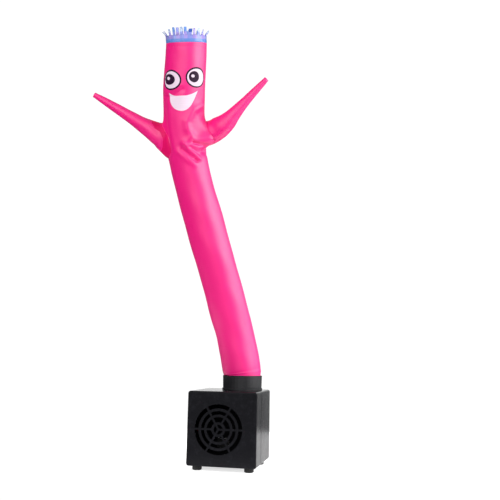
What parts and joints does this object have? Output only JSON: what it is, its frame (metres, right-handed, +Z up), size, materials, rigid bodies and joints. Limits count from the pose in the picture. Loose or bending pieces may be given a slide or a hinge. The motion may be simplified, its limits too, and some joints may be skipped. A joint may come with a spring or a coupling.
{
  "type": "inflatable air dancer on a blower base",
  "caption": "Small cloth tube figure with two arms, a printed face and film hair, held up by air from a square black blower base.",
  "frame": {"origin": "middle of the whole object's footprint, on the floor", "axes": "+Z up, the face and the grille look along -Y, the long base side runs along X"},
  "size_m": [0.1932, 0.1676, 0.4759],
  "materials": {
    "black_plastic": "satin",
    "inlet_plastic": "matte",
    "foot_rubber": "matte",
    "pink_cloth": "satin",
    "blue_film": "gloss"
  },
  "bodies": {
    "root": {"housing_front": "black_plastic", "housing_back": "black_plastic", "collar": "black_plastic", "power_inlet": "inlet_plastic", "foot_front_left": "foot_rubber", "foot_front_right": "foot_rubber", "foot_back_left": "foot_rubber", "foot_back_right": "foot_rubber", "body_tube": "pink_cloth", "arm_left": "pink_cloth", "arm_right": "pink_cloth", "hair_fringe": "blue_film"}
  },
  "joints": []
}
